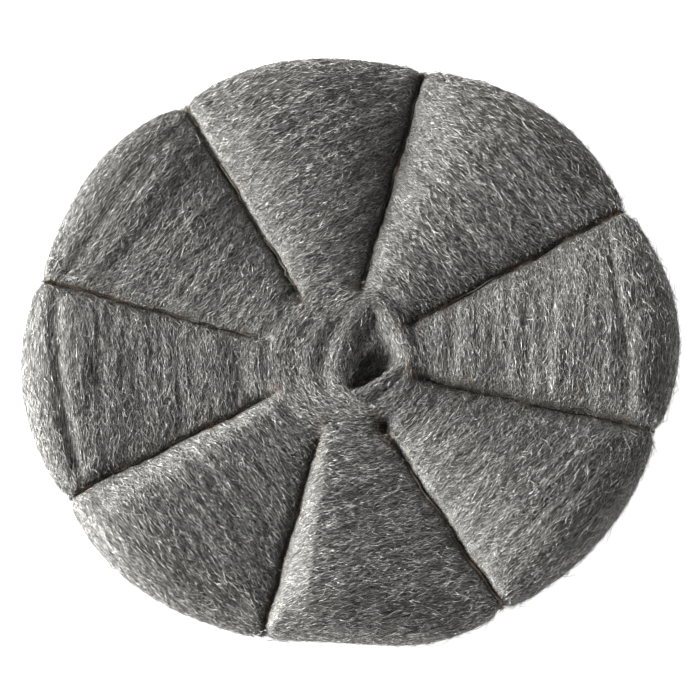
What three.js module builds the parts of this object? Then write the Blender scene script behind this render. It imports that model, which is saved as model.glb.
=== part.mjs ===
// A round steel wool floor pad, wound from one ribbon of wool and held by eight stitched radial seams.
//
// Millimetres, +Z up. The pad lies flat: its underside is at z = 0 and its centre is over the origin.
// The wool is one closed body, described in two directions:
//   - across a seam, it is pinched into a groove at the stitches and puffs up into a pillow beside them,
//     and the seams lie deeper the farther out they are;
//   - along a radius, it rises a little from the centre to the rolled rim, which is half an ellipse.
// Each seam's thread is a hairpin: out along the top groove, over the rim, and back along the bottom.

import * as THREE from 'three';

// ---- Driving dimensions ----

// Where each seam runs, counted anticlockwise from the x axis, and the rim radius there.
const SEAM_DEG = [31.3, 75.5, 118.5, 162.4, 208.3, 255.5, 301.4, 347.2];
const SEAM_RIM = [215, 216, 213, 209, 211, 213, 213, 213];
// How far the rim between two seams swells out, and how far that swelling leans to one side.
const SECTOR_SWELL = [7.5, 4.5, 4, 4.5, 5, -1, 2, 7.5];
const SECTOR_LEAN = [0, -1.5, 2, 0, 1, -4, 0, 0.5];
// The winding isn't quite in the middle of the pad: the outline lies off to one side of it by this much.
const OUTLINE_SHIFT = new THREE.Vector2(3.5, 10);
const RIM_NOTCH = 3.5;
const RIM_NOTCH_WIDTH = 6;

const MID_Z = 11.5;
// How far the rounding of the rim reaches in: on top of each pillow, below the pillows, and at a seam.
const TOP_ROLL = [32, 34, 36, 36, 36, 30, 25, 27];
const BOTTOM_ROLL = 18;
const SEAM_ROLL = 6.5;
const SEAM_ROLL_WIDTH = 14;
// Height of the pillows' crowns over the middle of the rim, and how much it rises outwards.
const PILLOW_TOP = 10.5;
const DISH = 5;
const DISH_RADIUS = 180;
// How far below the crowns a seam lies, for each millimetre of radius, and at most.
const VALLEY_SLOPE = 0.075;
const VALLEY_DEEPEST = 12;
const SEAM_BOTTOM = 5;

// The crown of each pillow: where it lies from one seam to the next, how round it is, and how full.
const CREST_SHARE = [0.66, 0.55, 0.45, 0.15, 0.22, 0.18, 0.48, 0.24];
const ROUNDING = [1.6, 2, 1.8, 1.6, 1.25, 1.15, 1.7, 2];
const FULLNESS = [0, 2, -3.5, -2, 1.5, 4, 4, 2.5];

const GROOVE_HALF = 1.9;
const BOTTOM_SHOULDER = 14;

const HUB_RADIUS = 54;
const HUB_FADE = 9;
const HUB_UNDERSIDE = 43;
const WHORL_RADIUS = 50;
const WHORL_SLOPE = 16;
const WHORL_RISE = 3;

const HOLLOW_CENTRE = new THREE.Vector2(22, -4);
const HOLLOW_TURN_DEG = 53;
const HOLLOW_HALF_LENGTH = 25;
const HOLLOW_NARROW = 4;
const HOLLOW_WIDE = 14;
const HOLLOW_DEPTH = 16;

const THREAD_RADIUS = 0.9;
const THREAD_GAP = 0.4;
const THREAD_SIDES = 6;
const THREAD_START = HUB_RADIUS + 2;

// ---- Outline and height of the wool ----

const clamp01 = (value) => Math.min(1, Math.max(0, value));
const smooth = (value) => {
  const t = clamp01(value);
  return t * t * (3 - 2 * t);
};
const mix = (a, b, share) => a + (b - a) * share;

const SEAM_COUNT = SEAM_DEG.length;
const seamAngle = (seam) => THREE.MathUtils.degToRad(SEAM_DEG[seam]);
const pastFirstSeam = (angle) => THREE.MathUtils.euclideanModulo(angle - seamAngle(0), 2 * Math.PI);
const sectorWidth = (sector) => {
  const end = sector + 1 < SEAM_COUNT ? seamAngle(sector + 1) : seamAngle(0) + 2 * Math.PI;
  return end - seamAngle(sector);
};

// The sector that a direction is in, and how far it lies across it, from 0 at one seam to 1 at the next.
function sectorPlace(angle) {
  const past = pastFirstSeam(angle);
  let sector = SEAM_COUNT - 1;
  while (sector > 0 && pastFirstSeam(seamAngle(sector)) > past) sector -= 1;
  return { sector, share: (past - pastFirstSeam(seamAngle(sector))) / sectorWidth(sector) };
}

// Distance in the plane from a point at this radius and angle to the nearest seam line.
function seamDistance(radius, angle) {
  const { sector, share } = sectorPlace(angle);
  return radius * Math.sin(Math.min(share, 1 - share) * sectorWidth(sector));
}

function rimRadius(angle) {
  const { sector, share } = sectorPlace(angle);
  const seams = mix(SEAM_RIM[sector], SEAM_RIM[(sector + 1) % SEAM_COUNT], share);
  const swell = SECTOR_SWELL[sector] * Math.sin(Math.PI * share);
  const lean = SECTOR_LEAN[sector] * Math.sin(2 * Math.PI * share);
  const distance = seamDistance(seams, angle);
  const notch = RIM_NOTCH * Math.exp(-((distance / RIM_NOTCH_WIDTH) ** 2));
  const shift = OUTLINE_SHIFT.x * Math.cos(angle) + OUTLINE_SHIFT.y * Math.sin(angle);
  return seams + swell + lean - notch + shift;
}

function rimRoll(angle, pillowRoll) {
  const distance = seamDistance(rimRadius(angle), angle);
  return mix(pillowRoll, SEAM_ROLL, Math.exp(-((distance / SEAM_ROLL_WIDTH) ** 2)));
}

// 0 at the stitches and 1 at the crown of the pillow between two seams.
function pillow(angle) {
  const { sector, share } = sectorPlace(angle);
  const crest = CREST_SHARE[sector];
  const fall = share < crest ? (crest - share) / crest : (share - crest) / (1 - crest);
  return 1 - fall ** ROUNDING[sector];
}

// The seams fade out at the edge of the centre whorl.
const seamStrength = (radius) => smooth((radius - (HUB_RADIUS - HUB_FADE)) / HUB_FADE);

// A slanted leaf-shaped hollow between the strands of the whorl, wider at its upper end.
function hollowDepth(x, y) {
  const turn = THREE.MathUtils.degToRad(HOLLOW_TURN_DEG);
  const dx = x - HOLLOW_CENTRE.x;
  const dy = y - HOLLOW_CENTRE.y;
  const along = (dx * Math.cos(turn) + dy * Math.sin(turn)) / HOLLOW_HALF_LENGTH;
  const across = -dx * Math.sin(turn) + dy * Math.cos(turn);
  const width = mix(HOLLOW_NARROW, HOLLOW_WIDE, clamp01((along + 1) / 2));
  const reach = Math.hypot(along, across / width);
  return HOLLOW_DEPTH * smooth(1.35 * (1 - reach));
}

function topHeight(radius, angle) {
  const { sector } = sectorPlace(angle);
  const strength = seamStrength(radius);
  const puff = mix(1, pillow(angle), strength);
  const dish = DISH * clamp01((radius - HUB_RADIUS) / (DISH_RADIUS - HUB_RADIUS));
  const valley = Math.min(VALLEY_DEEPEST, VALLEY_SLOPE * radius);
  const fullness = FULLNESS[sector] * puff * strength * smooth(radius / DISH_RADIUS);
  const whorl = WHORL_RISE * smooth((WHORL_RADIUS - radius) / WHORL_SLOPE);
  const hollow = hollowDepth(radius * Math.cos(angle), radius * Math.sin(angle));
  return PILLOW_TOP + dish - valley * (1 - puff) + fullness + whorl - hollow;
}

function bottomDepth(radius, angle) {
  const distance = seamDistance(radius, angle) - GROOVE_HALF;
  const flat = mix(1, smooth(distance / BOTTOM_SHOULDER), seamStrength(radius));
  return mix(SEAM_BOTTOM, MID_Z, flat);
}

// ---- The section along one radius, from the centre of the top to the centre of the underside ----

const HUB_RINGS = [8, 16, 24, 31, 38, 46, HUB_RADIUS];
const SECTOR_SHARES = [0.03, 0.15, 0.4, 0.65, 0.85, 1];
const TOP_ROLL_DEG = [24, 45, 63, 78];
const BOTTOM_ROLL_DEG = [102, 120, 140, 160];
const BOTTOM_SHARES = [1, 0.5, 0.03];

const TOP = 'top';
const ROLL = 'roll';
const BOTTOM = 'bottom';

const STATIONS = [
  ...HUB_RINGS.map((radius) => ({ face: TOP, radius })),
  ...SECTOR_SHARES.map((share) => ({ face: TOP, share })),
  ...TOP_ROLL_DEG.map((degrees) => ({ face: ROLL, degrees })),
  { face: ROLL, degrees: 90 },
  ...BOTTOM_ROLL_DEG.map((degrees) => ({ face: ROLL, degrees })),
  ...BOTTOM_SHARES.map((share) => ({ face: BOTTOM, share })),
  { face: BOTTOM, radius: HUB_UNDERSIDE },
];

// Radius and height of one station on the section at this angle.
function sectionPoint(station, angle) {
  const onTop = station.face === TOP || station.degrees < 90;
  const { sector } = sectorPlace(angle);
  const roll = rimRoll(angle, onTop ? TOP_ROLL[sector] : BOTTOM_ROLL);
  const start = rimRadius(angle) - roll;
  if (station.face === ROLL) {
    const turn = THREE.MathUtils.degToRad(station.degrees);
    const half = onTop ? topHeight(start, angle) : bottomDepth(start, angle);
    return { radius: start + roll * Math.sin(turn), z: MID_Z + half * Math.cos(turn) };
  }
  const radius = station.radius ?? mix(HUB_RADIUS, start, station.share);
  const height = onTop ? topHeight(radius, angle) : -bottomDepth(radius, angle);
  return { radius, z: MID_Z + height };
}

// ---- Wool body ----

// Directions across one sector: close together beside the seam, wide apart on the pillow.
// The first entries are distances from the seam, so the groove keeps its width along the seam.
const GROOVE_STEPS = [0, GROOVE_HALF, 5, 11];
const PILLOW_STEPS = [0.3, 0.65, 1];

function sectorAngles(radius, sector) {
  const near = GROOVE_STEPS.map((distance) => Math.asin(distance / Math.max(radius, HUB_RADIUS)));
  const last = near[near.length - 1];
  const far = PILLOW_STEPS.map((share) => mix(last, sectorWidth(sector) / 2, share));
  const half = [...near, ...far];
  const mirrored = half.slice(1, -1).reverse().map((angle) => sectorWidth(sector) - angle);
  return [...half, ...mirrored].map((angle) => seamAngle(sector) + angle);
}

function woolGeometry() {
  const positions = [0, 0, MID_Z + topHeight(0, 0)];
  for (const station of STATIONS) {
    for (let sector = 0; sector < SEAM_COUNT; sector += 1) {
      const arm = sectionPoint(station, seamAngle(sector) + sectorWidth(sector) / 2).radius;
      for (const angle of sectorAngles(arm, sector)) {
        const { radius, z } = sectionPoint(station, angle);
        positions.push(radius * Math.cos(angle), radius * Math.sin(angle), z);
      }
    }
  }
  positions.push(0, 0, 0);

  const columns = SEAM_COUNT * sectorAngles(HUB_RADIUS, 0).length;
  const vertex = (row, column) => 1 + row * columns + (column % columns);
  const topCentre = 0;
  const bottomCentre = 1 + STATIONS.length * columns;
  const lastRow = STATIONS.length - 1;
  const faces = [];
  for (let column = 0; column < columns; column += 1) {
    faces.push(topCentre, vertex(0, column), vertex(0, column + 1));
    for (let row = 0; row < lastRow; row += 1) {
      faces.push(vertex(row, column), vertex(row + 1, column), vertex(row + 1, column + 1));
      faces.push(vertex(row, column), vertex(row + 1, column + 1), vertex(row, column + 1));
    }
    faces.push(bottomCentre, vertex(lastRow, column + 1), vertex(lastRow, column));
  }
  const geometry = new THREE.BufferGeometry();
  geometry.setAttribute('position', new THREE.Float32BufferAttribute(positions, 3));
  geometry.setIndex(faces);
  geometry.computeVertexNormals();
  return geometry;
}

// ---- Seam threads ----

// A curve whose even steps fall on its own points, so a tube along it is finest where they are closest.
class StationCurve extends THREE.CatmullRomCurve3 {
  getPointAt(share, target) {
    return this.getPoint(share, target);
  }

  getTangentAt(share, target) {
    return this.getTangent(share, target);
  }
}

// The thread follows the section at its seam, one gap and one radius off the wool.
function threadPath(seam) {
  const angle = seamAngle(seam);
  const section = STATIONS.map((station) => sectionPoint(station, angle));
  const run = section.filter((place) => place.radius >= THREAD_START);
  const lift = THREAD_GAP + THREAD_RADIUS;
  const points = run.map((place, index) => {
    const before = run[Math.max(0, index - 1)];
    const after = run[Math.min(run.length - 1, index + 1)];
    const length = Math.hypot(after.radius - before.radius, after.z - before.z);
    const outX = -(after.z - before.z) / length;
    const outZ = (after.radius - before.radius) / length;
    const radius = place.radius + lift * outX;
    const height = place.z + lift * outZ;
    return new THREE.Vector3(radius * Math.cos(angle), radius * Math.sin(angle), height);
  });
  return new StationCurve(points, false, 'centripetal');
}

function threadGeometry(seam) {
  const outline = new THREE.Shape();
  for (let side = 0; side < THREAD_SIDES; side += 1) {
    const turn = (side / THREAD_SIDES) * 2 * Math.PI;
    const x = THREAD_RADIUS * Math.cos(turn);
    const y = THREAD_RADIUS * Math.sin(turn);
    if (side === 0) outline.moveTo(x, y);
    else outline.lineTo(x, y);
  }
  outline.closePath();
  const path = threadPath(seam);
  return new THREE.ExtrudeGeometry(outline, {
    steps: path.points.length - 1,
    curveSegments: 1,
    bevelEnabled: false,
    extrudePath: path,
  });
}

// ---- Assembly ----

const STEEL_GREY = 0x6f6f6d;
const THREAD_BROWN = 0x33261c;
const steelLook = { color: STEEL_GREY, roughness: 0.45, metalness: 0.85 };
const threadLook = { color: THREAD_BROWN, roughness: 0.9, metalness: 0 };

const pad = new THREE.Group();
pad.name = 'steel_wool_pad';

const wool = new THREE.Mesh(woolGeometry(), new THREE.MeshStandardMaterial(steelLook));
wool.name = 'wool_pad';
pad.add(wool);

for (let seam = 0; seam < SEAM_COUNT; seam += 1) {
  const thread = new THREE.Mesh(threadGeometry(seam), new THREE.MeshStandardMaterial(threadLook));
  thread.name = `seam_thread_${seam + 1}`;
  pad.add(thread);
}

// The rim isn't a true circle, so the whole pad shifts sideways to stand with its box over the origin.
pad.updateMatrixWorld(true);
const middle = new THREE.Box3().setFromObject(pad).getCenter(new THREE.Vector3());
for (const piece of pad.children) piece.position.set(-middle.x, -middle.y, 0);

export default pad;
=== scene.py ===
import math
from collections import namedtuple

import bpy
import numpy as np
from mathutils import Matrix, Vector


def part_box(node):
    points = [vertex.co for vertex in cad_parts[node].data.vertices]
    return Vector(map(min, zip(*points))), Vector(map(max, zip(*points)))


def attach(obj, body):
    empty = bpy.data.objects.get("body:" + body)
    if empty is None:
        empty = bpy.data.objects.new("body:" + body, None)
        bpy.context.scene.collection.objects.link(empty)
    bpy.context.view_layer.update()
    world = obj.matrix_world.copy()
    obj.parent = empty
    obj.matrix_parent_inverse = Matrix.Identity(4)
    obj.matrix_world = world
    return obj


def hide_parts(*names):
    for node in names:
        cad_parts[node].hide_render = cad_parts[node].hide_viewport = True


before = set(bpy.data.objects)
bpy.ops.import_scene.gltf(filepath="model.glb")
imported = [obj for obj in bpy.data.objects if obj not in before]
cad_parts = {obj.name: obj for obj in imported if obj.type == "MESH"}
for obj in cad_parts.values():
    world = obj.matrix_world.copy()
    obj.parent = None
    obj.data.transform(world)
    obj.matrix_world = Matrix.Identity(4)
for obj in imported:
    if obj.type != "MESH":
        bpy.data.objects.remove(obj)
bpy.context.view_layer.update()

# The looks of a round steel wool floor pad, wound from one ribbon of wool and held by stitched radial seams.
#
# Everything is in metres in the model's own frame, with +Z up and the pad's underside at z = 0.
# The wool is a shaped body (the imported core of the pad) covered all over with separate steel fibres, each one
# a thin closed tube that lies along the winding. The seams hold twisted brown thread.

MM = 0.001
wool_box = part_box("wool_pad")

# ---------------------------------------------------------------- driving dimensions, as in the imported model

SEAMS = 8
SEAM_ANGLE = np.radians([31.3, 75.5, 118.5, 162.4, 208.3, 255.5, 301.4, 347.2])
SECTOR_WIDTH = np.diff(SEAM_ANGLE, append=SEAM_ANGLE[0] + 2 * math.pi)

SEAM_RIM = np.array([215, 216, 213, 209, 211, 213, 213, 213]) * MM
SECTOR_SWELL = np.array([7.5, 4.5, 4, 4.5, 5, -1, 2, 7.5]) * MM
SECTOR_LEAN = np.array([0, -1.5, 2, 0, 1, -4, 0, 0.5]) * MM
OUTLINE_SHIFT = np.array([3.5, 10]) * MM
RIM_NOTCH = 3.5 * MM
RIM_NOTCH_WIDTH = 6 * MM

MID_Z = 11.5 * MM
TOP_ROLL = np.array([32, 34, 36, 36, 36, 30, 25, 27]) * MM
BOTTOM_ROLL = 18 * MM
SEAM_ROLL = 6.5 * MM
SEAM_ROLL_WIDTH = 14 * MM
PILLOW_TOP = 10.5 * MM
VALLEY_SLOPE = 0.075
VALLEY_DEEPEST = 12 * MM
DISH = 5 * MM
DISH_RADIUS = 180 * MM
SEAM_BOTTOM = 5 * MM

# Each pillow's crown: where it lies from one seam to the next, how round its slopes are, and how full it is.
CREST_SHARE = np.array([0.66, 0.55, 0.45, 0.15, 0.22, 0.18, 0.48, 0.24])
ROUNDING = np.array([1.6, 2, 1.8, 1.6, 1.25, 1.15, 1.7, 2])
FULLNESS = np.array([0, 2, -3.5, -2, 1.5, 4, 4, 2.5]) * MM

GROOVE_HALF = 1.9 * MM
BOTTOM_SHOULDER = 14 * MM

HUB_RADIUS = 54 * MM
HUB_FADE = 9 * MM

# ---------------------------------------------------------------- looks that only this script adds

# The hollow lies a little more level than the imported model's, and is a little broader and deeper.
HOLLOW_CENTRE = np.array([21, -5.5]) * MM
HOLLOW_TURN = math.radians(47)
HOLLOW_HALF_LENGTH = 25 * MM
HOLLOW_NARROW = 4 * MM
HOLLOW_WIDE = 17 * MM
HOLLOW_DEPTH = 17 * MM

# How far the seams stray, and the size of the tufts that the wool has bunched into.
SEAM_WANDER = 0.9 * MM
TUFT_RISE = 0.7 * MM
TUFT_LONG = 38 * MM
TUFT_WIDE = 3.8 * MM

# A steep shoulder beside the stitches takes up this share of each pillow's height. The crowns are softened.
SHOULDER_START = 0.6 * MM
SHOULDER = 2.2 * MM
SHOULDER_SHARE = 0.10
CREST_SOFTNESS = 0.12

# The stitches pull a narrow crack into the wool, from this distance from the middle outwards at each seam.
CRACK_DEPTH = 1.5 * MM
CRACK_HALF = 1.3 * MM
CRACK_START = np.array([48, 50, 49, 44, 45, 56, 50, 48]) * MM
CRACK_FADE = 4 * MM

# A rolled-over band along the rim: how deep the fold inside it is, for each sector, and where it lies.
FOLD_DEPTH = np.array([0.5, 0.3, 1.2, 2.6, 1.2, 0.3, 0.8, 1.8]) * MM
FOLD_INSET = np.array([30, 24, 28, 25, 24, 24, 28, 38]) * MM
FOLD_WIDTH = 3.6 * MM

# A pit where the wool gapes at the inner end of one seam.
PIT_CENTRE = np.array([30, -46]) * MM
PIT_RADIUS = 4.5 * MM
PIT_DEPTH = 6 * MM

# How the fibres of each sector lean away from the sector's chord, beside its first and its last seam.
LEAN_FIRST = np.radians([-7, 30, 14, -8, -18, 2, -31, -19])
LEAN_LAST = np.radians([-2, 18, -9, 0, -3, 13, 16, -2])
RIM_FOLLOW = 0.65

# The strands of the centre whorl: half width, height of the crest, and the line of the crest in millimetres.
WHORL_STRANDS = (
    (14.0, 22.4, (
        (29, -40), (9, -43), (-15, -38), (-32, -22), (-37, 2), (-31, 22), (-17, 38), (1, 49), (19, 53),
    )),
    (10.0, 23.4, ((13, -34), (-3, -32), (-16, -22), (-21, -4), (-17, 14), (-9, 27), (0, 38), (10, 46))),
    (11.0, 24.4, (
        (5, -28), (-2, -14), (-1, 2), (5, 20), (14, 36), (22, 45), (30, 38), (38, 24), (44, 10), (50, -12),
    )),
    (9.0, 23.6, ((43, -4), (33, -11), (23, -19), (14, -27), (14, -34), (22, -37), (33, -32), (43, -22))),
)
WHORL_FLOOR = 19.8 * MM
WHORL_BLEND = 1.1 * MM


def smooth(value):
    t = np.clip(value, 0, 1)
    return t * t * (3 - 2 * t)


def mix(a, b, share):
    return a + (b - a) * share


# ---------------------------------------------------------------- shape of the wool

def seam_wander(radius, angle):
    """How far a seam strays sideways from its true line."""
    slow = np.sin(radius / (9 * MM) + 5 * np.cos(angle))
    quick = np.sin(radius / (2.9 * MM) + 7 * np.sin(angle) + 2 * slow)
    return SEAM_WANDER * (0.6 * slow + 0.4 * quick)


def sector_place(radius, angle):
    """The sector that a point is in, and how far it lies across it, from 0 at one seam to 1 at the next."""
    straight = angle + seam_wander(radius, angle) / np.maximum(radius, HUB_RADIUS / 2)
    past_first = np.mod(straight - SEAM_ANGLE[0], 2 * math.pi)
    turns = np.interp(past_first, [0, *np.cumsum(SECTOR_WIDTH)], np.arange(SEAMS + 1))
    sector = np.minimum(turns.astype(int), SEAMS - 1)
    return sector, turns - sector


def seam_distance(radius, sector, share):
    return radius * np.sin(np.minimum(share, 1 - share) * SECTOR_WIDTH[sector])


def rim_radius(angle):
    """The rim's radius, the sector there, and the distance to the nearest seam."""
    sector, share = sector_place(0.97 * SEAM_RIM.mean(), angle)
    seams = mix(SEAM_RIM[sector], SEAM_RIM[(sector + 1) % SEAMS], share)
    swell = SECTOR_SWELL[sector] * np.sin(math.pi * share)
    lean = SECTOR_LEAN[sector] * np.sin(2 * math.pi * share)
    distance = seam_distance(seams, sector, share)
    notch = RIM_NOTCH * np.exp(-((distance / RIM_NOTCH_WIDTH) ** 2))
    shift = OUTLINE_SHIFT[0] * np.cos(angle) + OUTLINE_SHIFT[1] * np.sin(angle)
    return seams + swell + lean - notch + shift, sector, distance


def pillow(radius, sector, share):
    """0 at the stitches and 1 at the crown of the pillow between two seams."""
    distance = seam_distance(radius, sector, share)
    shoulder = 1 - np.exp(-np.maximum(0, distance - SHOULDER_START) / SHOULDER)
    crest = CREST_SHARE[sector]
    fall = np.where(share < crest, (crest - share) / crest, (share - crest) / (1 - crest))
    soft = CREST_SOFTNESS
    fall = (np.hypot(fall, soft) - soft) / (math.hypot(1, soft) - soft)
    return mix(1 - fall ** ROUNDING[sector], shoulder, SHOULDER_SHARE)


def seam_strength(radius):
    return smooth((radius - (HUB_RADIUS - HUB_FADE)) / HUB_FADE)


class Ripple:
    """Smooth random hills, from -1 to 1, that repeat only after many of them."""

    SIZE = 64

    def __init__(self, seed):
        self.heights = np.random.default_rng(seed).uniform(-1, 1, (self.SIZE, self.SIZE))

    def __call__(self, u, v):
        column, row = np.floor(u).astype(int), np.floor(v).astype(int)
        across, up = smooth(u - column), smooth(v - row)
        left, right = column % self.SIZE, (column + 1) % self.SIZE
        low, high = row % self.SIZE, (row + 1) % self.SIZE
        bottom = mix(self.heights[low, left], self.heights[low, right], across)
        top = mix(self.heights[high, left], self.heights[high, right], across)
        return mix(bottom, top, up)


tuft_noise = Ripple(11)
swell_noise = Ripple(12)


def chord_direction(sector, share):
    """The direction in the plane of the fibres at a place in a sector."""
    middle = SEAM_ANGLE[sector] + SECTOR_WIDTH[sector] / 2
    return middle + math.pi / 2 + mix(LEAN_FIRST[sector], LEAN_LAST[sector], share)


def tufts(x, y, sector):
    """Low long humps where the wool has bunched along its fibres."""
    turn = chord_direction(sector, 0.5)
    along = x * np.cos(turn) + y * np.sin(turn)
    across = -x * np.sin(turn) + y * np.cos(turn)
    shift = 7.3 * sector
    fine = tuft_noise(along / TUFT_LONG + shift, across / TUFT_WIDE)
    broad = swell_noise(along / (1.6 * TUFT_LONG) + shift, across / (3.5 * TUFT_WIDE))
    return TUFT_RISE * (fine + broad)


def smooth_curve(points, steps=14):
    """A smooth curve through the points, as a list of places."""
    points = np.array(points, float)
    ends = np.vstack([2 * points[0] - points[1], points, 2 * points[-1] - points[-2]])
    t = np.linspace(0, 1, steps, endpoint=False)[:, None]
    spans = []
    for a, b, c, d in zip(ends, ends[1:], ends[2:], ends[3:]):
        cubic = (3 * b - a - 3 * c + d) * t**3
        spans.append(0.5 * (2 * b + (c - a) * t + (2 * a - 5 * b + 4 * c - d) * t**2 + cubic))
    return np.vstack([*spans, points[-1:]])


class Strand:
    """One strand of the whorl: a low rounded ridge along a curve."""

    def __init__(self, half_width, crest, points):
        self.half_width = half_width * MM
        self.crest = crest * MM
        self.line = smooth_curve(points) * MM
        steps = np.gradient(self.line, axis=0)
        self.heading = np.arctan2(steps[:, 1], steps[:, 0])

    def nearest(self, x, y):
        """Distance from the crest line, and the line's heading there."""
        away = (x[..., None] - self.line[:, 0]) ** 2 + (y[..., None] - self.line[:, 1]) ** 2
        place = away.argmin(-1)
        distance = np.sqrt(np.take_along_axis(away, place[..., None], -1)[..., 0])
        return distance, self.heading[place]


strands = [Strand(*strand) for strand in WHORL_STRANDS]


def hollow_depth(x, y):
    """The slanted leaf-shaped hollow between the strands, wider at its upper end."""
    dx, dy = x - HOLLOW_CENTRE[0], y - HOLLOW_CENTRE[1]
    along = (dx * math.cos(HOLLOW_TURN) + dy * math.sin(HOLLOW_TURN)) / HOLLOW_HALF_LENGTH
    across = -dx * math.sin(HOLLOW_TURN) + dy * math.cos(HOLLOW_TURN)
    width = mix(HOLLOW_NARROW, HOLLOW_WIDE, np.clip((along + 1) / 2, 0, 1))
    reach = np.hypot(along, across / width)
    slope = mix(1, 0.45, smooth(0.6 + across / width)) * mix(1, 0.5, smooth(along + 0.3))
    return HOLLOW_DEPTH * slope * smooth(2.1 * (1 - reach))


def whorl_height(x, y):
    """Height of the centre whorl: the strands' ridges, blended where they meet, less the hollow."""
    total = np.exp(np.full(np.shape(x), WHORL_FLOOR) / WHORL_BLEND)
    for strand in strands:
        distance = strand.nearest(x, y)[0]
        ridge = strand.crest - (strand.crest - WHORL_FLOOR) * (distance / strand.half_width) ** 2
        total = total + np.exp(np.maximum(ridge, WHORL_FLOOR - 5 * MM) / WHORL_BLEND)
    return WHORL_BLEND * np.log(total) - hollow_depth(x, y)


def whorl_flow(x, y):
    """Direction of the fibres in the whorl, as a weighted mean of its strands' headings."""
    cosine, sine = 0.0, 0.0
    for strand in strands:
        distance, heading = strand.nearest(x, y)
        weight = np.exp(-((distance / (0.7 * strand.half_width)) ** 2)) + 1e-4 / (1e-4 + distance / MM)
        cosine = cosine + weight * np.cos(2 * heading)
        sine = sine + weight * np.sin(2 * heading)
    return 0.5 * np.arctan2(sine, cosine)


def top_height(radius, angle):
    """Height of the top of the wool over the plane of the rim."""
    sector, share = sector_place(radius, angle)
    x, y = radius * np.cos(angle), radius * np.sin(angle)
    puff = pillow(radius, sector, share)
    dish = DISH * np.clip((radius - HUB_RADIUS) / (DISH_RADIUS - HUB_RADIUS), 0, 1)
    valley = np.minimum(VALLEY_SLOPE * radius, VALLEY_DEEPEST)
    height = PILLOW_TOP + dish - valley * (1 - puff) + FULLNESS[sector] * puff * smooth(radius / DISH_RADIUS)
    height = height + tufts(x, y, sector) * smooth(2 * puff)
    in_whorl = 1 - smooth((radius - (HUB_RADIUS - HUB_FADE)) / (1.4 * HUB_FADE))
    whorl = np.zeros(np.shape(radius))
    near = in_whorl > 0
    if near.any():
        whorl[near] = whorl_height(x[near], y[near]) - MID_Z
    height = mix(height, whorl, in_whorl)
    seam = (sector + (share > 0.5)) % SEAMS
    crack = CRACK_DEPTH * np.exp(-((seam_distance(radius, sector, share) / CRACK_HALF) ** 2))
    crack = crack * smooth((radius - CRACK_START[seam]) / CRACK_FADE)
    pit = PIT_DEPTH * np.exp(-(np.hypot(x - PIT_CENTRE[0], y - PIT_CENTRE[1]) / PIT_RADIUS) ** 2)
    return height - crack - pit


def bottom_depth(radius, angle):
    distance = seam_distance(radius, *sector_place(radius, angle)) - GROOVE_HALF
    flat = mix(1, smooth(distance / BOTTOM_SHOULDER), seam_strength(radius))
    return mix(SEAM_BOTTOM, MID_Z, flat)


def rim_roll(distance, pillow_roll):
    return mix(pillow_roll, SEAM_ROLL, np.exp(-((distance / SEAM_ROLL_WIDTH) ** 2)))


def fold_depth(radius, angle, rim):
    """How deep the crease inside the rolled-over band along the rim is. It runs straighter than the rim."""
    sector, share = sector_place(radius, angle)
    bow = np.sin(math.pi * share)
    past = rim - FOLD_INSET[sector] * mix(0.5, 1, bow) - radius
    return FOLD_DEPTH[sector] * smooth(3 * bow) * np.exp(-((past / FOLD_WIDTH) ** 2))


def shell(place, angle):
    """A point of the wool outside the whorl. place runs 0 to 1 over the top from the whorl to the start of
    the rim's roll, 1 to 2 round the roll, and 2 to 3 back along the underside to the middle."""
    rim, sector, distance = rim_radius(angle)
    on_top = place < 1.5
    roll = rim_roll(distance, np.where(on_top, TOP_ROLL[sector], BOTTOM_ROLL))
    start = rim - roll
    turn = math.pi * (np.clip(place, 1, 2) - 1)
    inner = np.where(on_top, HUB_RADIUS, 0)
    share = np.where(on_top, np.clip(place, 0, 1), 1 - np.clip(place - 2, 0, 1))
    level = mix(inner, start, share)
    half = np.where(on_top, top_height(level, angle), bottom_depth(level, angle))
    radius = level + roll * np.sin(turn)
    height = MID_Z + half * np.where(on_top, np.abs(np.cos(turn)), -np.abs(np.cos(turn)))
    height = height - np.where(on_top, fold_depth(radius, angle, rim), 0)
    return np.stack([radius * np.cos(angle), radius * np.sin(angle), height], -1)


def whorl(x, y):
    """A point of the whorl's top."""
    radius, angle = np.hypot(x, y), np.arctan2(y, x)
    return np.stack([x, y, MID_Z + top_height(radius, angle)], -1)


OUTLINE_STEPS = 1441


def wool_centre():
    """Where the winding's centre lies when the wool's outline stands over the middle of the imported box."""
    angles = np.linspace(-math.pi, math.pi, OUTLINE_STEPS)
    rim = rim_radius(angles)[0]
    x, y = rim * np.cos(angles), rim * np.sin(angles)
    middle = (wool_box[0] + wool_box[1]) / 2
    return np.array([middle.x - (x.max() + x.min()) / 2, middle.y - (y.max() + y.min()) / 2, 0])


CENTRE = wool_centre()

# ---------------------------------------------------------------- mesh building

BAKE_MAP = "OFBake"


def build_mesh(name, vertices, faces, uv=None):
    """A mesh object from arrays: vertices (n, 3) about the wool's centre, triangles (m, 3), uv per vertex."""
    mesh = bpy.data.meshes.new(name)
    mesh.vertices.add(len(vertices))
    mesh.vertices.foreach_set("co", (vertices + CENTRE).astype(np.float32).ravel())
    mesh.loops.add(faces.size)
    mesh.loops.foreach_set("vertex_index", faces.astype(np.int32).ravel())
    mesh.polygons.add(len(faces))
    mesh.polygons.foreach_set("loop_start", np.arange(0, faces.size, 3, dtype=np.int32))
    mesh.polygons.foreach_set("use_smooth", np.ones(len(faces), bool))
    mesh.update(calc_edges=True)
    if uv is not None:
        layer = mesh.uv_layers.new(name=BAKE_MAP)
        layer.uv.foreach_set("vector", uv[faces.ravel()].astype(np.float32).ravel())
    mesh.validate()
    piece = bpy.data.objects.new(name, mesh)
    bpy.context.scene.collection.objects.link(piece)
    return piece


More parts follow.
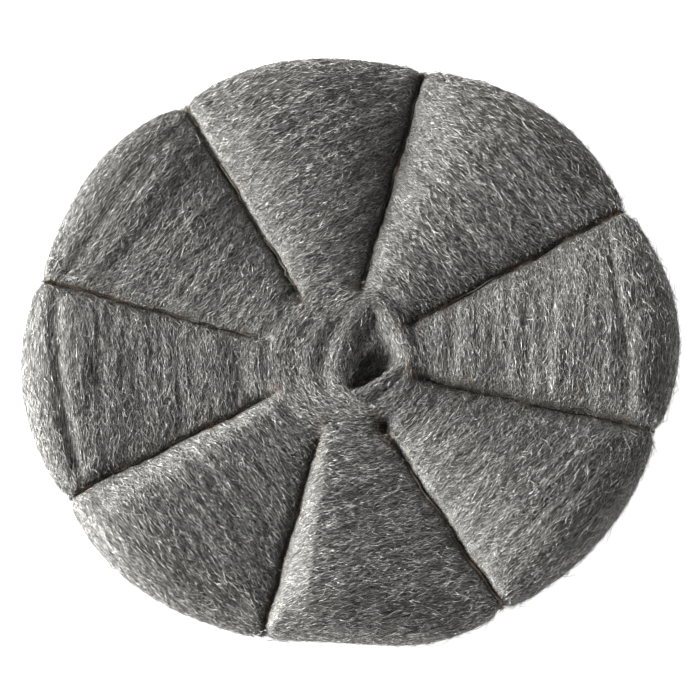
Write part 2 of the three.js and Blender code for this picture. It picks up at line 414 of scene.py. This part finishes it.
def unit(vectors):
    return vectors / np.maximum(np.linalg.norm(vectors, axis=-1, keepdims=True), 1e-12)


def tube_faces(rings, sides):
    """Triangles of a closed tube: a tip, some rings and another tip."""
    faces = []
    for side in range(sides):
        after = (side + 1) % sides
        faces.append((0, 1 + after, 1 + side))
        for ring in range(rings - 1):
            low, high = 1 + ring * sides, 1 + (ring + 1) * sides
            faces.append((low + side, low + after, high + after))
            faces.append((low + side, high + after, high + side))
        last = 1 + (rings - 1) * sides
        faces.append((last + side, last + after, 1 + rings * sides))
    return np.array(faces)


def tubes(paths, normals, radius, sides, taper):
    """Closed tubes along many paths at once: vertices, triangles, and each vertex's place along and around.
    paths is (fibres, points, 3), normals the same, radius (fibres,) and taper (points - 2,)."""
    count, points = paths.shape[:2]
    rings = points - 2
    along = unit(np.gradient(paths, axis=1))
    side_way = unit(np.cross(along, normals))
    up_way = np.cross(side_way, along)
    turns = np.arange(sides) / sides * 2 * math.pi
    reach = (radius[:, None] * taper)[:, :, None, None]
    ring_at = paths[:, 1:-1, None, :]
    ring_side = side_way[:, 1:-1, None, :] * np.cos(turns)[:, None]
    ring_up = up_way[:, 1:-1, None, :] * np.sin(turns)[:, None]
    ring = (ring_at + reach * (ring_side + ring_up)).reshape(count, rings * sides, 3)
    vertices = np.concatenate([paths[:, :1], ring, paths[:, -1:]], 1)
    each = vertices.shape[1]
    faces = tube_faces(rings, sides)[None] + (np.arange(count) * each)[:, None, None]
    place_along = np.concatenate([[0], np.repeat(np.arange(1, points - 1), sides), [points - 1]])
    place_along = place_along / (points - 1)
    place_round = np.concatenate([[0.5], np.tile(np.arange(sides) / (sides - 1), rings), [0.5]])
    return vertices.reshape(-1, 3), faces.reshape(-1, 3), place_along, place_round


# ---------------------------------------------------------------- the body of the wool

HUB_ROWS = 44
TOP_ROWS = 46
ROLL_ROWS = 26
BOTTOM_ROWS = 16
SEAM_COLUMNS = np.array([0, 0.9, 1.9, 2.8, 4, 5.6, 7.6, 10, 13]) * MM
PILLOW_COLUMNS = 15


def sector_angles(radius, sector):
    """Directions across one sector, close together beside its seams."""
    near = np.arcsin(SEAM_COLUMNS / max(radius, HUB_RADIUS))
    far = np.linspace(near[-1], SECTOR_WIDTH[sector] / 2, PILLOW_COLUMNS)[1:]
    half = np.concatenate([near, far])
    return SEAM_ANGLE[sector] + np.concatenate([half, SECTOR_WIDTH[sector] - half[-2:0:-1]])


def all_angles(radius):
    return np.concatenate([sector_angles(radius, sector) for sector in range(SEAMS)])


def flow_places(points, sector):
    """Each point's place along and across the fibres of its sector."""
    turn = chord_direction(sector, 0.5)
    x, y, z = points[..., 0], points[..., 1], points[..., 2]
    along = x * np.cos(turn) + y * np.sin(turn)
    across = -x * np.sin(turn) + y * np.cos(turn)
    return np.stack([along + 0.37 * sector, across, z], -1)


def wool_body():
    rows, flows = [], []
    for radius in np.linspace(0, HUB_RADIUS, HUB_ROWS + 1)[1:]:
        angles = all_angles(HUB_RADIUS)
        rows.append(whorl(radius * np.cos(angles), radius * np.sin(angles)))
        flows.append(flow_places(rows[-1], sector_place(np.full(len(angles), radius), angles)[0]))
    places = np.concatenate([
        np.linspace(0, 1, TOP_ROWS + 1)[1:],
        1 + np.linspace(0, 1, ROLL_ROWS + 1)[1:-1],
        2 + np.linspace(0, 1, BOTTOM_ROWS + 1)[:-1],
    ])
    reach = SEAM_RIM.mean()
    middle = SEAM_ANGLE[:1] + SECTOR_WIDTH[0] / 2
    for place in places:
        arm = float(np.hypot(*shell(np.array([place]), middle)[0, :2]))
        angles = all_angles(arm)
        rows.append(shell(np.full(len(angles), place), angles))
        flows.append(flow_places(rows[-1], sector_place(np.full(len(angles), reach), angles)[0]))
    columns = len(rows[0])
    centre_top = whorl(np.zeros(1), np.zeros(1))
    vertices = np.concatenate([centre_top, *rows, np.zeros((1, 3))])
    flow = np.concatenate([centre_top, *flows, np.zeros((1, 3))])
    faces = []
    column = np.arange(columns)
    after = (column + 1) % columns
    faces.append(np.stack([np.zeros(columns, int), 1 + column, 1 + after], 1))
    for row in range(len(rows) - 1):
        low, high = 1 + row * columns, 1 + (row + 1) * columns
        faces.append(np.stack([low + column, high + column, high + after], 1))
        faces.append(np.stack([low + column, high + after, low + after], 1))
    last = 1 + (len(rows) - 1) * columns
    faces.append(np.stack([np.full(columns, len(vertices) - 1), last + after, last + column], 1))
    body = build_mesh("wool_body", vertices, np.concatenate(faces))
    attribute = body.data.attributes.new("flow", "FLOAT_VECTOR", "POINT")
    attribute.data.foreach_set("vector", flow.astype(np.float32).ravel())
    return body


# ---------------------------------------------------------------- fibres

FIBRE_SIDES = 3
LOWEST_FIBRE = 0.2 * MM
# Steps that a slope is measured over: in the shell's own coordinates, and on the whorl.
PROBE = 1e-3
WHORL_PROBE = 0.2 * MM

# A fibre bows up off the wool by part of a sine wave, and its ends are sunk in by a little.
BOW_START = 0.12
BOW_SPAN = 0.76
FIBRE_SINK = 0.2 * MM

# A kind of fibre: radius in millimetres, spread of its direction and of its bend, and points along it.
Kind = namedtuple("Kind", "radius scatter curl points")
SHORT = Kind(radius=(0.09, 0.17), scatter=math.radians(12), curl=math.radians(16), points=3)
LONG = Kind(radius=(0.08, 0.13), scatter=math.radians(22), curl=math.radians(65), points=4)

# For each kind on one sector: how many on its top, round its rim and below, length and lift in millimetres.
SECTOR_FIBRES = (
    (SHORT, (5600, 2500, 400), (7, 17), 0.16),
    (LONG, (2000, 800, 100), (8, 24), 0.4),
)
# For each kind on the whorl: how many, length and lift in millimetres.
WHORL_FIBRES = (
    (SHORT, 6000, (5, 11), 0.2),
    (LONG, 2000, (8, 16), 0.5),
)
WHORL_REACH = 60 * MM

SECTOR_SEED, WHORL_SEED, WISP_SEED, THREAD_SEED = 100, 200, 300, 400


def surface_frame(surface, a, b, step_a, step_b):
    """A surface's point, its outward normal and how fast it moves with each of its two coordinates."""
    here = surface(a, b)
    by_a = (surface(a + step_a, b) - here) / step_a
    by_b = (surface(a, b + step_b) - here) / step_b
    return here, unit(np.cross(by_a, by_b)), by_a, by_b


def surface_step(by_a, by_b, heading):
    """How far a surface's two coordinates change along a direction in the surface, for each metre."""
    aa, ab, bb = (by_a * by_a).sum(1), (by_a * by_b).sum(1), (by_b * by_b).sum(1)
    ah, bh = (by_a * heading).sum(1), (by_b * heading).sum(1)
    scale = np.maximum(aa * bb - ab * ab, 1e-12)
    return (bb * ah - ab * bh) / scale, (aa * bh - ab * ah) / scale


def fibre_uv(rng, count, place_along, place_round, rusty):
    """Each fibre's patch of the steel pattern. Rusty fibres have a strip of their own along its top edge."""
    left = rng.uniform(0.01, 0.98, count)
    low = rng.uniform(0.01, 0.80, count)
    low = np.where(rusty, rng.uniform(0.90, 0.96, count), low)
    u = left[:, None] + 0.006 * place_round
    v = low[:, None] + np.where(rusty, 0.02, 0.05)[:, None] * place_along
    return np.stack([u, v], -1).reshape(-1, 2)


def lay_fibres(rng, paths, normals, radius, rusty, taper=None):
    """Fibres as tubes along their paths, as thick all along unless a taper is given."""
    paths[..., 2] = np.maximum(paths[..., 2], LOWEST_FIBRE)
    if taper is None:
        taper = np.ones(paths.shape[1] - 2)
    vertices, faces, along, round_ = tubes(paths, normals, radius, FIBRE_SIDES, taper)
    uv = fibre_uv(rng, len(paths), along, round_, rusty)
    return vertices, faces, uv


def join(parts):
    """One set of vertices, triangles and uv from several."""
    vertices, faces, uv, base = [], [], [], 0
    for part_vertices, part_faces, part_uv in parts:
        vertices.append(part_vertices)
        faces.append(part_faces + base)
        uv.append(part_uv)
        base += len(part_vertices)
    return np.concatenate(vertices), np.concatenate(faces), np.concatenate(uv)


def bow_height(arch, t):
    """Height of a fibre over the wool at t, which runs from 0 to 1 along it."""
    return arch * math.sin(math.pi * (BOW_START + BOW_SPAN * t)) - FIBRE_SINK


def shell_fibres(rng, places, angles, length, kind, lift):
    """Fibres that lie on the wool from these places, along the winding, and stop short of the seams."""
    count = len(places)
    way = rng.choice([-1.0, 1.0], count)
    skew = rng.normal(0, kind.scatter, count)
    bend = rng.normal(0, kind.curl, count)
    start = shell(places, angles)
    arm = np.hypot(start[:, 0], start[:, 1])
    sector, share = sector_place(arm, angles)
    ahead = arm * np.sin(np.where(way > 0, 1 - share, share) * SECTOR_WIDTH[sector])
    over = np.where(rng.uniform(size=count) < 0.1, 1.6 * MM, -0.7 * MM)
    length = np.clip(length, 2 * MM, np.maximum(ahead + over, 2 * MM))
    step = length / (kind.points - 1)
    points, normals = [], []
    a, b = places.copy(), angles.copy()
    arch = rng.gamma(1.6, lift, count)
    for index in range(kind.points):
        here, normal, by_a, by_b = surface_frame(shell, a, b, PROBE, PROBE)
        t = index / (kind.points - 1)
        points.append(here + normal * bow_height(arch, t)[:, None])
        normals.append(normal)
        arm = np.hypot(here[:, 0], here[:, 1])
        _, share = sector_place(arm, b)
        tangential = b + math.pi / 2
        follow = 1 - RIM_FOLLOW * smooth((arm / SEAM_RIM.mean() - 0.72) / 0.25)
        turn = (chord_direction(sector, share) - tangential + math.pi) % (2 * math.pi) - math.pi
        turn = turn * follow + skew + bend * (t - 0.5)
        around = np.stack([-np.sin(b), np.cos(b), np.zeros(count)], -1)
        around = unit(around - normal * (normal * around).sum(1, keepdims=True))
        outward = np.cross(around, normal)
        facing = np.sign((outward * by_a).sum(1, keepdims=True))
        outward = outward * np.where(a < 1.5, -1, 1)[:, None] * facing
        heading = around * np.cos(turn)[:, None] + outward * np.sin(turn)[:, None]
        step_a, step_b = surface_step(by_a, by_b, heading)
        a = np.clip(a + way * step * step_a, 0.0, 2.95)
        b = b + way * step * step_b
    return np.stack(points, 1), np.stack(normals, 1)


def whorl_fibres(rng, x, y, length, kind, lift):
    """Fibres that lie on the whorl along its strands."""
    count = len(x)
    way = rng.choice([-1.0, 1.0], count)
    skew = rng.normal(0, kind.scatter, count)
    bend = rng.normal(0, kind.curl, count)
    arch = rng.gamma(1.6, lift, count)
    step = length / (kind.points - 1)
    points, normals = [], []
    a, b = x.copy(), y.copy()
    heading = None
    for index in range(kind.points):
        here, normal, _, _ = surface_frame(whorl, a, b, WHORL_PROBE, WHORL_PROBE)
        t = index / (kind.points - 1)
        points.append(here + normal * bow_height(arch, t)[:, None])
        normals.append(normal)
        flow = whorl_flow(a, b)
        if heading is not None:
            flow = flow + math.pi * (np.cos(flow - heading) < 0)
        heading = flow
        turn = flow + skew + bend * (t - 0.5)
        a = a + way * step * np.cos(turn)
        b = b + way * step * np.sin(turn)
    return np.stack(points, 1), np.stack(normals, 1)


stain_noise = Ripple(13)


def rust_stained(rng, points):
    """Which fibres are stained brown: some of those close to a seam, and more in some places than others."""
    middle = points.mean(1)
    arm, angle = np.hypot(middle[:, 0], middle[:, 1]), np.arctan2(middle[:, 1], middle[:, 0])
    sector, share = sector_place(arm, angle)
    reach = seam_distance(arm, sector, share) / (3.6 * MM)
    seam = sector + (share > 0.5)
    patch = 0.5 + 0.9 * stain_noise(arm / (16 * MM), seam * 9.7)
    return (rng.uniform(size=len(points)) < patch * np.exp(-(reach**2))) & (arm > CRACK_START.min())


def starting_places(rng, sector, counts):
    """Random places all over one sector, evenly spread on each of its three parts."""
    top, roll, under = counts
    edge = SEAM_RIM.mean() - TOP_ROLL[sector]
    arms = np.sqrt(rng.uniform(HUB_RADIUS**2, edge**2, top))
    below = np.sqrt(rng.uniform(HUB_RADIUS**2, edge**2, under))
    places = np.concatenate([
        (arms - HUB_RADIUS) / (edge - HUB_RADIUS),
        1 + rng.uniform(0, 1, roll),
        3 - below / edge,
    ])
    share = rng.uniform(0.004, 0.996, len(places))
    return places, SEAM_ANGLE[sector] + share * SECTOR_WIDTH[sector]


def sector_strands(sector):
    rng = np.random.default_rng(SECTOR_SEED + sector)
    parts = []
    for kind, counts, lengths, lift in SECTOR_FIBRES:
        places, angles = starting_places(rng, sector, counts)
        length = rng.uniform(*lengths, len(places)) * MM
        points, normals = shell_fibres(rng, places, angles, length, kind, lift * MM)
        radius = rng.uniform(*kind.radius, len(places)) * MM
        parts.append(lay_fibres(rng, points, normals, radius, rust_stained(rng, points)))
    return build_mesh(f"wool_strands_{sector + 1}", *join(parts))


def whorl_places(rng, count):
    """Random places all over the whorl, clear of the inner ends of the seams."""
    arm = WHORL_REACH * np.sqrt(rng.uniform(0, 1, count))
    turn = rng.uniform(0, 2 * math.pi, count)
    distance = seam_distance(arm, *sector_place(arm, turn))
    clear = (distance > 2 * MM) | (arm < HUB_RADIUS - 6 * MM)
    return arm[clear] * np.cos(turn[clear]), arm[clear] * np.sin(turn[clear])


def whorl_strands():
    rng = np.random.default_rng(WHORL_SEED)
    parts = []
    for kind, count, lengths, lift in WHORL_FIBRES:
        x, y = whorl_places(rng, count)
        length = rng.uniform(*lengths, len(x)) * MM
        points, normals = whorl_fibres(rng, x, y, length, kind, lift * MM)
        radius = rng.uniform(*kind.radius, len(x)) * MM
        parts.append(lay_fibres(rng, points, normals, radius, rust_stained(rng, points)))
    return build_mesh("whorl_strands", *join(parts))


WISPS = 3600
WISP_RISE = (math.radians(8), math.radians(65))
WISP_SLANT = math.radians(22)
WISP_LENGTH = (3, 12)
WISP_RADIUS = (0.08, 0.18)
WISP_POINTS = 5
WISP_TAPER = np.array([1, 1, 0.8])


def rim_wisps():
    """Loose fibres that stand out of the rim."""
    rng = np.random.default_rng(WISP_SEED)
    angles = rng.uniform(0, 2 * math.pi, WISPS)
    places = 1 + rng.uniform(0.2, 0.7, WISPS)
    here, normal, by_a, by_b = surface_frame(shell, places, angles, PROBE, PROBE)
    around, down = unit(by_b), unit(by_a)
    way = rng.choice([-1.0, 1.0], WISPS)
    rise = rng.uniform(*WISP_RISE, WISPS) * rng.uniform(0.4, 1, WISPS)
    slant = rng.normal(0, WISP_SLANT, WISPS)
    length = rng.uniform(*WISP_LENGTH, WISPS) * MM
    points = []
    for t in np.linspace(0, 1, WISP_POINTS):
        climb = rise * (1 - 0.5 * t)
        along = np.cos(climb) * t
        out = np.sin(climb) * t
        sway = slant * t + rng.normal(0, 0.04, WISPS)
        step = (along * np.cos(sway) * way)[:, None] * around + (along * np.sin(sway))[:, None] * down
        points.append(here + length[:, None] * (step + out[:, None] * normal) - 0.3 * MM * normal)
    normals = np.repeat(normal[:, None], WISP_POINTS, 1)
    radius = rng.uniform(*WISP_RADIUS, WISPS) * MM
    clean = np.zeros(WISPS, bool)
    return build_mesh("rim_wisps", *lay_fibres(rng, np.stack(points, 1), normals, radius, clean, WISP_TAPER))


# ---------------------------------------------------------------- seam thread

THREAD_RADIUS = 0.5 * MM
THREAD_SIDES = 5
THREAD_TWIST = 4.2 * MM
# How much of its own beige each thread still shows, before patches are added.
THREAD_PALE = np.array([0.1, -0.1, 1.0, 0.55, 0.1, 0.0, 0.3, -0.1])
THREAD_STEP = 1.1 * MM
STITCH = 26 * MM
STITCH_RISE = 1.6 * MM
FUZZ = 650


def seam_line(seam, places):
    """The true line of a seam over the wool, with its outward normal."""
    angle_at = SEAM_ANGLE[seam]
    straight = shell(places, np.full(len(places), angle_at))
    arm = np.hypot(straight[:, 0], straight[:, 1])
    angles = angle_at - seam_wander(arm, angle_at) / np.maximum(arm, MM)
    line, normal, _, _ = surface_frame(shell, places, angles, PROBE, PROBE)
    return line, normal


def thread_fuzz(seam, rng):
    """Short loose hairs of the thread, lying every way along the seam."""
    on_top = int(0.7 * FUZZ)
    places = np.concatenate([rng.uniform(0.01, 1, on_top), rng.uniform(1, 2.2, FUZZ - on_top)])
    here, normal = seam_line(seam, places)
    ahead = unit(seam_line(seam, places + 0.01)[0] - here)
    side = np.cross(ahead, normal)
    turn = rng.normal(0, 0.7, FUZZ) + math.pi * (rng.uniform(size=FUZZ) < 0.5)
    way = ahead * np.cos(turn)[:, None] + side * np.sin(turn)[:, None]
    length = rng.uniform(1.5, 5, FUZZ)[:, None] * MM
    start = here + side * rng.normal(0, 0.5 * MM, (FUZZ, 1)) + normal * rng.uniform(0.3, 2.4, (FUZZ, 1)) * MM
    end = start + length * (way + 0.12 * normal)
    middle = (start + end) / 2 + 0.12 * length * normal
    paths = np.stack([start, middle, end], 1)
    normals = np.repeat(normal[:, None], 3, 1)
    radius = rng.uniform(0.1, 0.2, FUZZ) * MM
    vertices, faces, along, round_ = tubes(paths, normals, radius, FIBRE_SIDES, np.ones(1))
    uv = np.stack([np.tile(round_, FUZZ), np.tile(along, FUZZ)], -1)
    return vertices, faces, uv


def seam_thread(seam):
    """Two plies of thread twisted together, out along the top of a seam, round the rim and back below."""
    rng = np.random.default_rng(THREAD_SEED + seam)
    start = (CRACK_START[seam] - HUB_RADIUS + 5 * MM) / (SEAM_RIM[seam] - SEAM_ROLL - HUB_RADIUS)
    places = np.concatenate([
        np.linspace(max(0.005, start), 1, 700),
        1 + np.linspace(0, 1, 160)[1:-1],
        np.linspace(2, 2.7, 600),
    ])
    line, normal = seam_line(seam, places)
    run = np.concatenate([[0], np.cumsum(np.linalg.norm(np.diff(line, axis=0), axis=1))])
    marks = np.arange(0, run[-1], THREAD_STEP)
    line = np.stack([np.interp(marks, run, line[:, axis]) for axis in range(3)], 1)
    normal = unit(np.stack([np.interp(marks, run, normal[:, axis]) for axis in range(3)], 1))
    tops = rng.uniform(0, 1, int(run[-1] / STITCH) + 3)
    rise = STITCH_RISE * smooth(1.6 * np.interp(marks / STITCH, np.arange(len(tops)), tops) - 0.3)
    arm = np.hypot(line[:, 0], line[:, 1])
    rise = rise * smooth((SEAM_RIM[seam] - SEAM_ROLL - arm) / (8 * MM))
    line = line + normal * (THREAD_RADIUS + rise)[:, None]
    side = unit(np.cross(np.gradient(line, axis=0), normal))
    turn = 2 * math.pi * marks / THREAD_TWIST
    parts = [thread_fuzz(seam, rng)]
    for ply in range(2):
        phase = turn + ply * math.pi
        offset = normal * np.sin(phase)[:, None] + side * np.cos(phase)[:, None]
        path = line + 0.8 * THREAD_RADIUS * offset
        vertices, faces, along, round_ = tubes(
            path[None], normal[None], np.array([THREAD_RADIUS]), THREAD_SIDES, np.ones(len(path) - 2)
        )
        uv = np.stack([0.1 + 0.4 * ply + 0.3 * round_, along], -1)
        parts.append((vertices, faces, uv))
    thread = build_mesh(f"stitched_thread_{seam + 1}", *join(parts))
    hairs = len(parts[0][0])
    arm = np.concatenate([np.hypot(vertices[:, 0], vertices[:, 1]) for vertices, _, _ in parts])
    pale = THREAD_PALE[seam] + 0.6 * stain_noise(arm / (13 * MM), seam * 3.1)
    pale[:hairs] -= 0.5
    attribute = thread.data.attributes.new("pale", "FLOAT", "POINT")
    attribute.data.foreach_set("value", np.clip(pale, 0, 1).astype(np.float32))
    return thread


# ---------------------------------------------------------------- materials

# The colour sockets of a mix node, which share their names with its number sockets.
MIX_FACTOR, MIX_FIRST, MIX_SECOND, MIX_RESULT = 0, 6, 7, 2
RUST_STRIP = 0.88


class Nodes:
    """A material's node tree, with one short call for each node and link."""

    def __init__(self, name):
        self.material = bpy.data.materials.new(name)
        self.material.use_nodes = True
        self.tree = self.material.node_tree
        self.tree.nodes.clear()
        self.shader = self.add("ShaderNodeBsdfPrincipled")
        output = self.add("ShaderNodeOutputMaterial")
        self.link(self.shader, "BSDF", output, "Surface")

    def add(self, kind, **settings):
        node = self.tree.nodes.new(kind)
        for name, value in settings.items():
            setattr(node, name, value)
        return node

    def link(self, from_node, output, to_node, socket):
        self.tree.links.new(from_node.outputs[output], to_node.inputs[socket])

    def ramp(self, source, output, stops):
        ramp = self.add("ShaderNodeValToRGB")
        elements = ramp.color_ramp.elements
        while len(elements) < len(stops):
            elements.new(0.5)
        for element, (place, colour) in zip(elements, stops):
            element.position = place
            element.color = (*colour, 1)
        self.link(source, output, ramp, "Fac")
        return ramp

    def stretched(self, source, output, scale):
        mapping = self.add("ShaderNodeMapping")
        mapping.inputs["Scale"].default_value = scale
        self.link(source, output, mapping, "Vector")
        return mapping

    def noise(self, source, output, scale, detail=2.0, roughness=0.5):
        noise = self.add("ShaderNodeTexNoise")
        noise.inputs["Scale"].default_value = scale
        noise.inputs["Detail"].default_value = detail
        noise.inputs["Roughness"].default_value = roughness
        self.link(source, output, noise, "Vector")
        return noise

    def mixed(self, kind, first, second):
        mixer = self.add("ShaderNodeMix", data_type="RGBA", blend_type=kind)
        mixer.inputs[MIX_FACTOR].default_value = 1.0
        self.link(first, "Color", mixer, MIX_FIRST)
        self.link(second, "Color", mixer, MIX_SECOND)
        return mixer

    def blend(self, factor, factor_output, first, second):
        mixer = self.mixed("MIX", first, second)
        self.link(factor, factor_output, mixer, MIX_FACTOR)
        return mixer

    def paint(self, mixer):
        self.link(mixer, MIX_RESULT, self.shader, "Base Color")

    def bump(self, source, strength, distance):
        bump = self.add("ShaderNodeBump")
        bump.inputs["Strength"].default_value = strength
        bump.inputs["Distance"].default_value = distance
        self.link(source, "Fac", bump, "Height")
        self.link(bump, "Normal", self.shader, "Normal")


def grey(level):
    """The faintly warm grey of bare steel."""
    return (1.01 * level, level, 0.96 * level)


def fibre_material():
    """Bright, middling and dark steel fibres, with a strip of rust-stained ones at the top of the pattern."""
    nodes = Nodes("steel_fibre")
    nodes.shader.inputs["Metallic"].default_value = 0.6
    nodes.shader.inputs["Roughness"].default_value = 0.5
    place = nodes.add("ShaderNodeUVMap", uv_map=BAKE_MAP)
    tone = nodes.noise(place, "UV", 90.0, detail=1.0)
    steel = nodes.ramp(tone, "Fac", (
        (0.30, grey(0.07)),
        (0.45, grey(0.24)),
        (0.56, grey(0.44)),
        (0.70, grey(0.90)),
    ))
    rust = nodes.ramp(tone, "Fac", (
        (0.3, (0.06, 0.032, 0.016)),
        (0.5, (0.20, 0.12, 0.07)),
        (0.7, (0.46, 0.34, 0.24)),
    ))
    parts = nodes.add("ShaderNodeSeparateXYZ")
    nodes.link(place, "UV", parts, "Vector")
    stained = nodes.add("ShaderNodeMath", operation="GREATER_THAN")
    stained.inputs[1].default_value = RUST_STRIP
    nodes.link(parts, "Y", stained, 0)
    nodes.paint(nodes.blend(stained, "Value", steel, rust))
    return nodes.material


def body_material():
    """The matted wool under the loose fibres: fine dark and mid grey streaks along the winding. They are partly
    grain and partly painted shade, because the body is coloured much darker than the fibres to stand for the
    shaded gaps deep between them.
    """
    nodes = Nodes("matted_steel_wool")
    nodes.shader.inputs["Metallic"].default_value = 0.7
    nodes.shader.inputs["Roughness"].default_value = 0.55
    flow = nodes.add("ShaderNodeAttribute", attribute_name="flow")
    fine = nodes.noise(nodes.stretched(flow, "Vector", (110, 1700, 1700)), "Vector", 1.0, roughness=0.6)
    broad = nodes.noise(nodes.stretched(flow, "Vector", (40, 260, 260)), "Vector", 1.0)
    # Painted shade: the darkest of these streaks stand for the shaded gaps between the fibres, not for darker
    # steel.
    grain_and_gap_shade = nodes.ramp(fine, "Fac", ((0.32, grey(0.02)), (0.52, grey(0.12)), (0.70, grey(0.40))))
    patches = nodes.ramp(broad, "Fac", ((0.3, grey(0.75)), (0.7, grey(1.0))))
    nodes.paint(nodes.mixed("MULTIPLY", grain_and_gap_shade, patches))
    nodes.bump(fine, 0.9, 0.5 * MM)
    return nodes.material


def thread_material():
    """Dark brown twisted thread, rusty in places, and still its own beige where the rust hasn't reached."""
    nodes = Nodes("rusty_thread")
    nodes.shader.inputs["Roughness"].default_value = 0.85
    place = nodes.add("ShaderNodeTexCoord")
    spots = nodes.noise(place, "Object", 55.0, detail=4.0)
    colour = nodes.ramp(spots, "Fac", (
        (0.35, (0.008, 0.006, 0.004)),
        (0.50, (0.030, 0.018, 0.011)),
        (0.62, (0.100, 0.055, 0.027)),
        (0.75, (0.26, 0.18, 0.11)),
    ))
    beige = nodes.ramp(spots, "Fac", ((0.35, (0.10, 0.085, 0.065)), (0.65, (0.24, 0.22, 0.18))))
    pale = nodes.add("ShaderNodeAttribute", attribute_name="pale")
    nodes.paint(nodes.blend(pale, "Fac", colour, beige))
    nodes.bump(nodes.noise(place, "Object", 2600.0), 0.6, 0.15 * MM)
    return nodes.material


def floor_material():
    nodes = Nodes("studio_floor")
    nodes.shader.inputs["Base Color"].default_value = (0.9, 0.9, 0.9, 1)
    nodes.shader.inputs["Roughness"].default_value = 0.9
    nodes.shader.inputs["Emission Color"].default_value = (1, 1, 1, 1)
    nodes.shader.inputs["Emission Strength"].default_value = FLOOR_GLOW
    return nodes.material


# ---------------------------------------------------------------- pieces

def dress(piece, material):
    piece.data.materials.append(material)
    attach(piece, "root")


fibre_look = fibre_material()
body = wool_body()
dress(body, body_material())
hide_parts("wool_pad")
for sector in range(SEAMS):
    dress(sector_strands(sector), fibre_look)
dress(whorl_strands(), fibre_look)
dress(rim_wisps(), fibre_look)

thread_look = thread_material()
for seam in range(SEAMS):
    thread = seam_thread(seam)
    dress(thread, thread_look)
    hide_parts(f"seam_thread_{seam + 1}")

# ---------------------------------------------------------------- studio

FLOOR_SIZE = 8.0
FLOOR_GAP = 0.0003
FLOOR_GLOW = 0.95
WORLD_LIGHT = 0.06
FRAME_WIDTH = 0.4635
LENS = 500.0
SENSOR = 36.0
CAMERA_TILT = math.radians(64.5)
AIM = Vector((-0.0003, -0.0017, 0.012))


def studio_floor():
    half = FLOOR_SIZE / 2
    mesh = bpy.data.meshes.new("studio_floor")
    corners = [(-half, -half, 0), (half, -half, 0), (half, half, 0), (-half, half, 0)]
    mesh.from_pydata(corners, [], [(0, 1, 2, 3)])
    mesh.materials.append(floor_material())
    floor = bpy.data.objects.new("studio_floor", mesh)
    floor.location.z = -FLOOR_GAP
    bpy.context.scene.collection.objects.link(floor)


def aimed(thing, place, target):
    thing.location = place
    thing.rotation_euler = (target - place).to_track_quat("-Z", "Y").to_euler()
    bpy.context.scene.collection.objects.link(thing)


def far_light(name, azimuth, elevation, spread, strength):
    """A large soft light so far away that it is equally strong all over the pad."""
    lamp = bpy.data.lights.new(name, "SUN")
    lamp.angle = math.radians(spread)
    lamp.energy = strength
    turn, rise = math.radians(azimuth), math.radians(elevation)
    place = Vector((math.cos(turn) * math.cos(rise), math.sin(turn) * math.cos(rise), math.sin(rise)))
    aimed(bpy.data.objects.new(name, lamp), 3 * place, Vector((0, 0, 0)))


studio_floor()
far_light("key_light", azimuth=180, elevation=15, spread=34, strength=11.7)
far_light("rim_light", azimuth=150, elevation=5, spread=20, strength=6.9)
far_light("top_fill", azimuth=80, elevation=30, spread=60, strength=0.6)
far_light("right_fill", azimuth=315, elevation=3, spread=30, strength=1.2)

world = bpy.data.worlds.new("studio")
world.use_nodes = True
world.node_tree.nodes["Background"].inputs["Color"].default_value = (1, 1, 1, 1)
world.node_tree.nodes["Background"].inputs["Strength"].default_value = WORLD_LIGHT
bpy.context.scene.world = world
bpy.context.scene.view_settings.view_transform = "Standard"

camera_data = bpy.data.cameras.new("camera")
camera_data.lens = LENS
camera_data.sensor_width = SENSOR
camera_data.clip_end = 50
camera = bpy.data.objects.new("camera", camera_data)
camera_distance = FRAME_WIDTH * LENS / SENSOR
camera_place = AIM + camera_distance * Vector((0, -math.cos(CAMERA_TILT), math.sin(CAMERA_TILT)))
aimed(camera, camera_place, AIM)
bpy.context.scene.camera = camera
